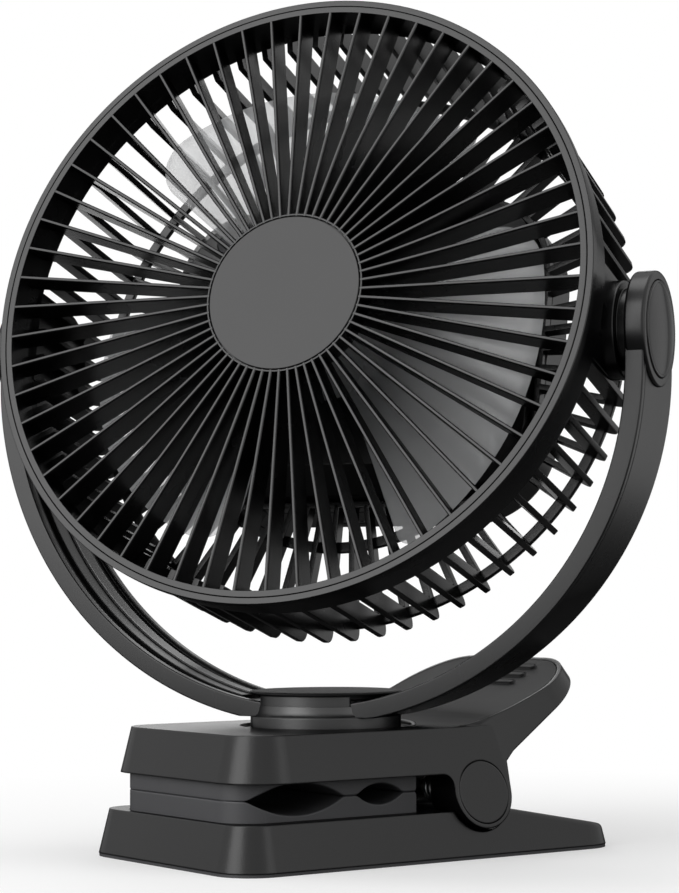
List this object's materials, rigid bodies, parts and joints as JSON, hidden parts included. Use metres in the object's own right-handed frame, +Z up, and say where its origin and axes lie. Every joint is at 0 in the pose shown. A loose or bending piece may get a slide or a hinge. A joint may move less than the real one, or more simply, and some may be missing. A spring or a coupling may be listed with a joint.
{
  "type": "clip-on camping fan",
  "caption": "Battery camping fan with a caged, tilting round head in a swivelling U-shaped yoke on a sprung clamp base with grip pads.",
  "frame": {"origin": "centre of the yoke's swivel axis where it meets the floor under the clamp's sole", "axes": "+Z up along the swivel axis; -Y towards the clamp's mouth, +Y towards its lever; +X to the clamp's left-hand side seen from the lever"},
  "size_m": [0.215, 0.1737, 0.28],
  "materials": {
    "shell": "fine moulded grain, black",
    "trim": "smooth semi-gloss black",
    "disc": "satin dark grey",
    "pad": "soft matte dark grey rubber",
    "lever_pad": "soft matte rubber",
    "blade": "clear smoke-tinted plastic",
    "steel": "plain steel",
    "magnet": "dark sintered",
    "copper": "lacquered windings",
    "mount_metal": "cast",
    "tray": "plain",
    "cell": "heat-shrink wrap",
    "board": "solder mask",
    "lens": "frosted clear"
  },
  "bodies": {
    "clamp_base": {"lower_jaw": "shell", "base_sole": "pad", "lower_pad": "pad", "hinge_pin": "steel", "torsion_springs": "steel"},
    "clamp_top": {"upper_jaw": "shell", "upper_pad": "pad", "lever_pad": "lever_pad", "hinge_cap_left": "shell", "hinge_cap_right": "shell"},
    "yoke": {"swivel_hub": "shell", "yoke": "shell", "yoke_cover_left": "trim", "yoke_cover_right": "trim", "hub_cap": "trim", "hub_screws": "steel", "swivel_washer": "steel", "swivel_screw": "steel", "pivot_screws": "steel", "pivot_cap_left": "shell", "pivot_cap_right": "shell"},
    "head": {"front_grille": "shell", "centre_disc": "disc", "rear_cage": "shell", "rear_housing": "shell", "housing_back": "shell", "housing_screws": "steel", "battery_cells": "cell", "battery_tray": "tray", "circuit_board": "board", "control_board": "board", "indicator_lens": "lens", "charge_port": "mount_metal", "motor_mount": "mount_metal", "motor_stator": "copper", "motor_bearings": "steel", "motor_screws": "steel"},
    "fan": {"fan_blades": "blade", "motor_rotor": "steel", "rotor_magnets": "magnet", "motor_shaft": "steel", "blade_nut": "steel"},
    "button": {"power_button": "trim"}
  },
  "joints": [
    {"name": "clamp_open", "type": "hinge", "parent": "clamp_base", "child": "clamp_top", "pos_m": [0, 0.0306, 0.0209], "axis": [-1, 0, 0], "range_deg": [0, 32], "stiffness_Nm_per_rad": 1.5, "springref_deg": -34.38, "deforming": ["torsion_springs"]},
    {"name": "swivel", "type": "hinge", "parent": "clamp_top", "child": "yoke", "pos_m": [0, 0, 0.0418], "axis": [0, 0, 1], "continuous": true},
    {"name": "head_tilt", "type": "hinge", "parent": "yoke", "child": "head", "pos_m": [0, 0, 0.167], "axis": [0.8548, 0.5189, 0], "range_deg": [-75, 105]},
    {"name": "fan_spin", "type": "hinge", "parent": "head", "child": "fan", "pos_m": [0.00479, -0.00789, 0.17453], "axis": [0.5002, -0.824, 0.2659], "continuous": true},
    {"name": "power_button", "type": "slide", "parent": "head", "child": "button", "axis": [0.5002, -0.824, 0.2659], "range_m": [0, 0.0008], "stiffness_N_per_m": 1200, "springref_m": -0.0005}
  ]
}
